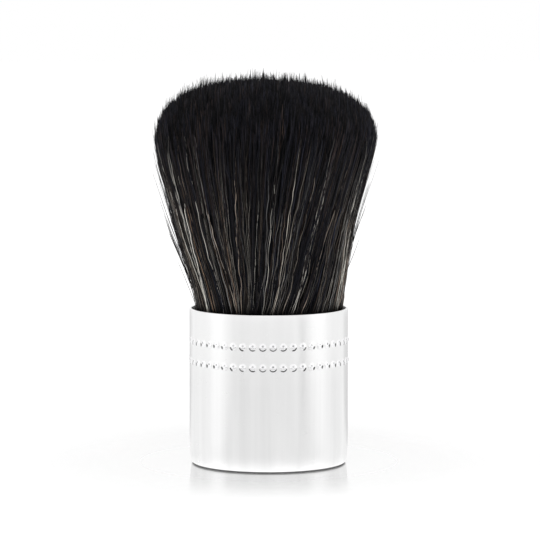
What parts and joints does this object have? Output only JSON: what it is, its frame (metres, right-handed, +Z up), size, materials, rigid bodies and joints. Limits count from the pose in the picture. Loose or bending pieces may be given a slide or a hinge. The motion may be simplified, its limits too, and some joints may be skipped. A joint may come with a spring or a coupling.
{
  "type": "nail dust brush",
  "caption": "Short round dust brush that stands on its flat base: a drawn aluminium cup with bead rows holds a dense, flared tuft of soft black hair with a domed top.",
  "frame": {"origin": "centre of the cup's underside, on the surface that the brush stands on", "axes": "+Z up the axis of the brush from cup to hair; -Y is the side that the picture shows"},
  "size_m": [0.0391, 0.0392, 0.07],
  "materials": {
    "satin_aluminium": "drawn cup, turned to a satin, bright beads rolled in two rows",
    "zinc_steel": "punched steel slug, thin zinc coat",
    "black_plastic": "moulded black ABS",
    "clear_resin": "poured resin, amber",
    "white_cord": "waxed binding cord",
    "black_hair": "fine synthetic hair, crimped, black with brown lights"
  },
  "bodies": {
    "root": {"ferrule_cup": "satin_aluminium", "ballast_slug": "zinc_steel", "knot_insert": "black_plastic", "potting_disc": "clear_resin", "binding_cord": "white_cord", "hair_core": "black_hair", "hair_inner": "black_hair", "hair_middle": "black_hair", "hair_outer": "black_hair"}
  },
  "joints": []
}
